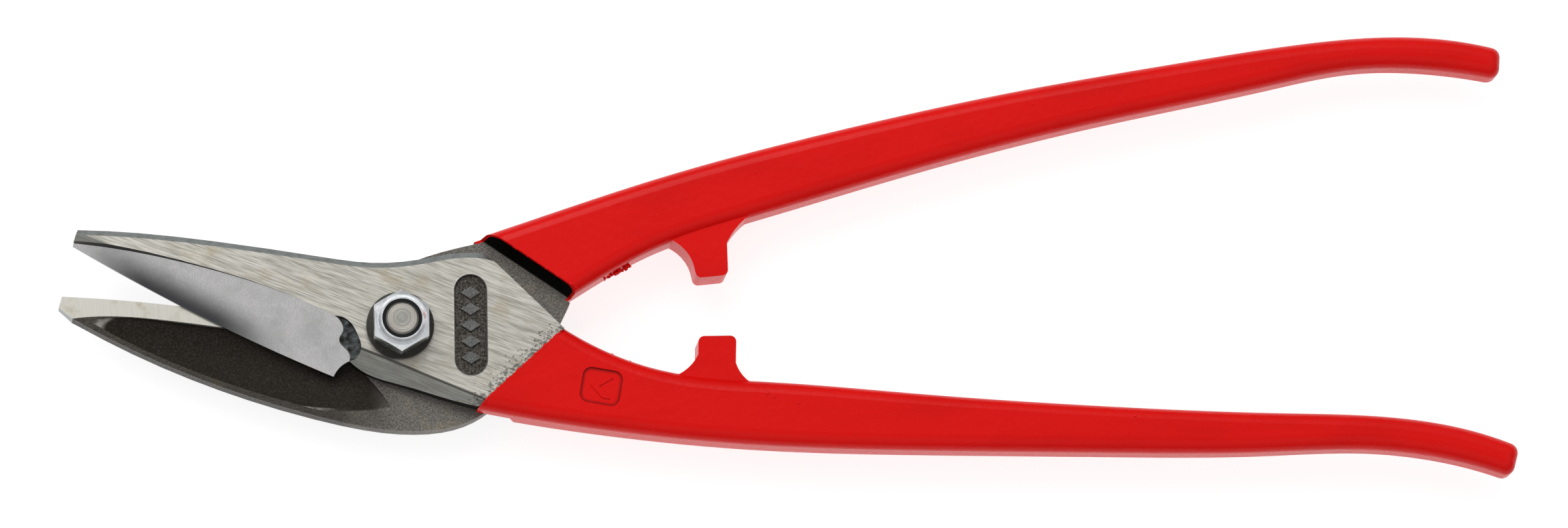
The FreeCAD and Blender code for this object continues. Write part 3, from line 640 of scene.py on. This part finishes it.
class SNIPS_OT_coats(bpy.types.Operator):
    """Finish the handle coatings and add their lips, flash and nibs"""
    bl_idname = "snips.coats"
    bl_label = "Coatings"

    def execute(self, context):
        coating = dipped_coating(*settings())
        finish_node("front_handle_coat", coating)
        finish_node("rear_handle_coat", coating)
        sizes = context.scene.snips_sizes
        rng = np.random.default_rng(FLASH_SEED)
        for side, body, line, height, flash, nibs in COAT_DETAILS:
            ends = [np.array(point) for point in line]
            inward = (ends[1] - ends[0]) * LIP_SETBACK
            edge = lip(ends[0] + inward, ends[1] - inward, height, sizes.lip / MM, LIP_SEED)
            piece(side + "_coat_lip", [edge], coating, body)
            starts, run = np.array(flash[0]), np.array(flash[1]) - flash[0]
            places = starts + np.sort(rng.uniform(0, 1, FLASH_LUMPS))[:, None] * run
            places += rng.uniform(-1, 1, places.shape) * FLASH_WANDER
            lumps = [lump(place, sizes.flash / MM * rng.uniform(*FLASH_SPREAD, 3), i)
                     for i, place in enumerate(places)]
            piece(side + "_coat_flash", lumps, coating, body)
            specks = [lump(place, sizes.nib / MM * np.array(NIB_SHAPE) * rng.uniform(*NIB_SPREAD), i)
                      for i, place in enumerate(nibs)]
            piece(side + "_coat_nibs", specks, coating, body)
        return {"FINISHED"}


class SNIPS_OT_stage(bpy.types.Operator):
    """Set the floor, the light and the camera"""
    bl_idname = "snips.stage"
    bl_label = "Stage"

    def execute(self, context):
        scene = context.scene
        stage = scene.snips_stage
        scene.view_settings.view_transform = "Standard"
        self.floor(scene)
        self.lights(scene, stage)
        self.camera(scene, stage)
        return {"FINISHED"}

    def floor(self, scene):
        """A flat square under the bolt head."""
        corners = np.array([(-1, -1), (1, -1), (1, 1), (-1, 1)]) * FLOOR_HALF
        points = np.column_stack([corners, np.full(4, FLOOR - FLOOR_GAP)]) * MM
        mesh = bpy.data.meshes.new("floor")
        mesh.from_pydata(points.tolist(), [], [(0, 1, 2, 3)])
        mesh.materials.append(floor_card(scene.snips_colours))
        made = bpy.data.objects.new("floor", mesh)
        scene.collection.objects.link(made)

    def lights(self, scene, stage):
        """Even light all round, brighter overhead, and one large soft light from the upper left."""
        world = bpy.data.worlds.new("studio")
        scene.world = world
        world.use_nodes = True
        tree = world.node_tree
        tree.nodes.clear()
        sky = add(tree, "ramp", add(tree, "z", add(tree, "direction")))
        ramp = sky.node.color_ramp.elements
        for i, (height, grey) in enumerate(ROOM_LIGHT):
            stop = ramp[i] if i < 2 else ramp.new(height)
            stop.position = height
            stop.color = (grey, grey, grey, 1)
        add(tree, "world", add(tree, "background", sky, stage.sky))
        lamp = bpy.data.lights.new("key", "AREA")
        lamp.shape = "RECTANGLE"
        lamp.size, lamp.size_y = KEY_SIZE
        lamp.energy = stage.key
        made = bpy.data.objects.new("key", lamp)
        made.location = KEY_PLACE
        made.rotation_euler = (KEY_AIM - made.location).to_track_quat("-Z", "Y").to_euler()
        scene.collection.objects.link(made)

    def camera(self, scene, stage):
        """A long lens a little left of the pivot axis and below it: the axes are tilted about X, then turned
        about the tilted upward one."""
        a, b = stage.turn, stage.tilt
        up = Vector((0, math.cos(b), math.sin(b)))
        right = Vector((math.cos(a), -math.sin(a) * math.sin(b), math.sin(a) * math.cos(b)))
        back = right.cross(up)
        data = bpy.data.cameras.new("camera")
        data.sensor_width = SENSOR_WIDTH
        data.lens = data.sensor_width * stage.distance / stage.width
        data.clip_start, data.clip_end = CLIPPING
        made = bpy.data.objects.new("camera", data)
        turned = Matrix((right, up, back)).transposed().to_4x4()
        place = right * stage.right + up * stage.up + back * stage.distance
        made.matrix_world = Matrix.Translation(place) @ turned
        scene.collection.objects.link(made)
        scene.camera = made


class SNIPS_PT_sidebar(bpy.types.Panel):
    """The snips' steps and settings"""
    bl_idname = "SNIPS_PT_sidebar"
    bl_label = "Snips"
    bl_space_type = "VIEW_3D"
    bl_region_type = "UI"
    bl_category = "Snips"

    def draw(self, context):
        for step in STEPS:
            self.layout.operator(step.bl_idname)
        for group in (context.scene.snips_colours, context.scene.snips_sizes, context.scene.snips_stage):
            box = self.layout.box()
            for name in type(group).__annotations__:
                box.prop(group, name)


STEPS = (SNIPS_OT_forgings, SNIPS_OT_blades, SNIPS_OT_welds, SNIPS_OT_pivot, SNIPS_OT_coats, SNIPS_OT_stage)
GROUPS = {"snips_colours": SnipsColours, "snips_sizes": SnipsSizes, "snips_stage": SnipsStage}


def register():
    """Registers the settings, the operators and the panel."""
    for group in GROUPS.values():
        bpy.utils.register_class(group)
    for name, group in GROUPS.items():
        setattr(bpy.types.Scene, name, PointerProperty(type=group))
    for kind in (*STEPS, SNIPS_PT_sidebar):
        bpy.utils.register_class(kind)


def unregister():
    """Takes them out again, in the opposite order."""
    for kind in (SNIPS_PT_sidebar, *reversed(STEPS)):
        bpy.utils.unregister_class(kind)
    for name in GROUPS:
        delattr(bpy.types.Scene, name)
    for group in GROUPS.values():
        bpy.utils.unregister_class(group)


def main():
    """Builds everything in order."""
    register()
    for step in STEPS:
        group, name = step.bl_idname.split(".")
        getattr(getattr(bpy.ops, group), name)()


if __name__ == "__main__":
    main()
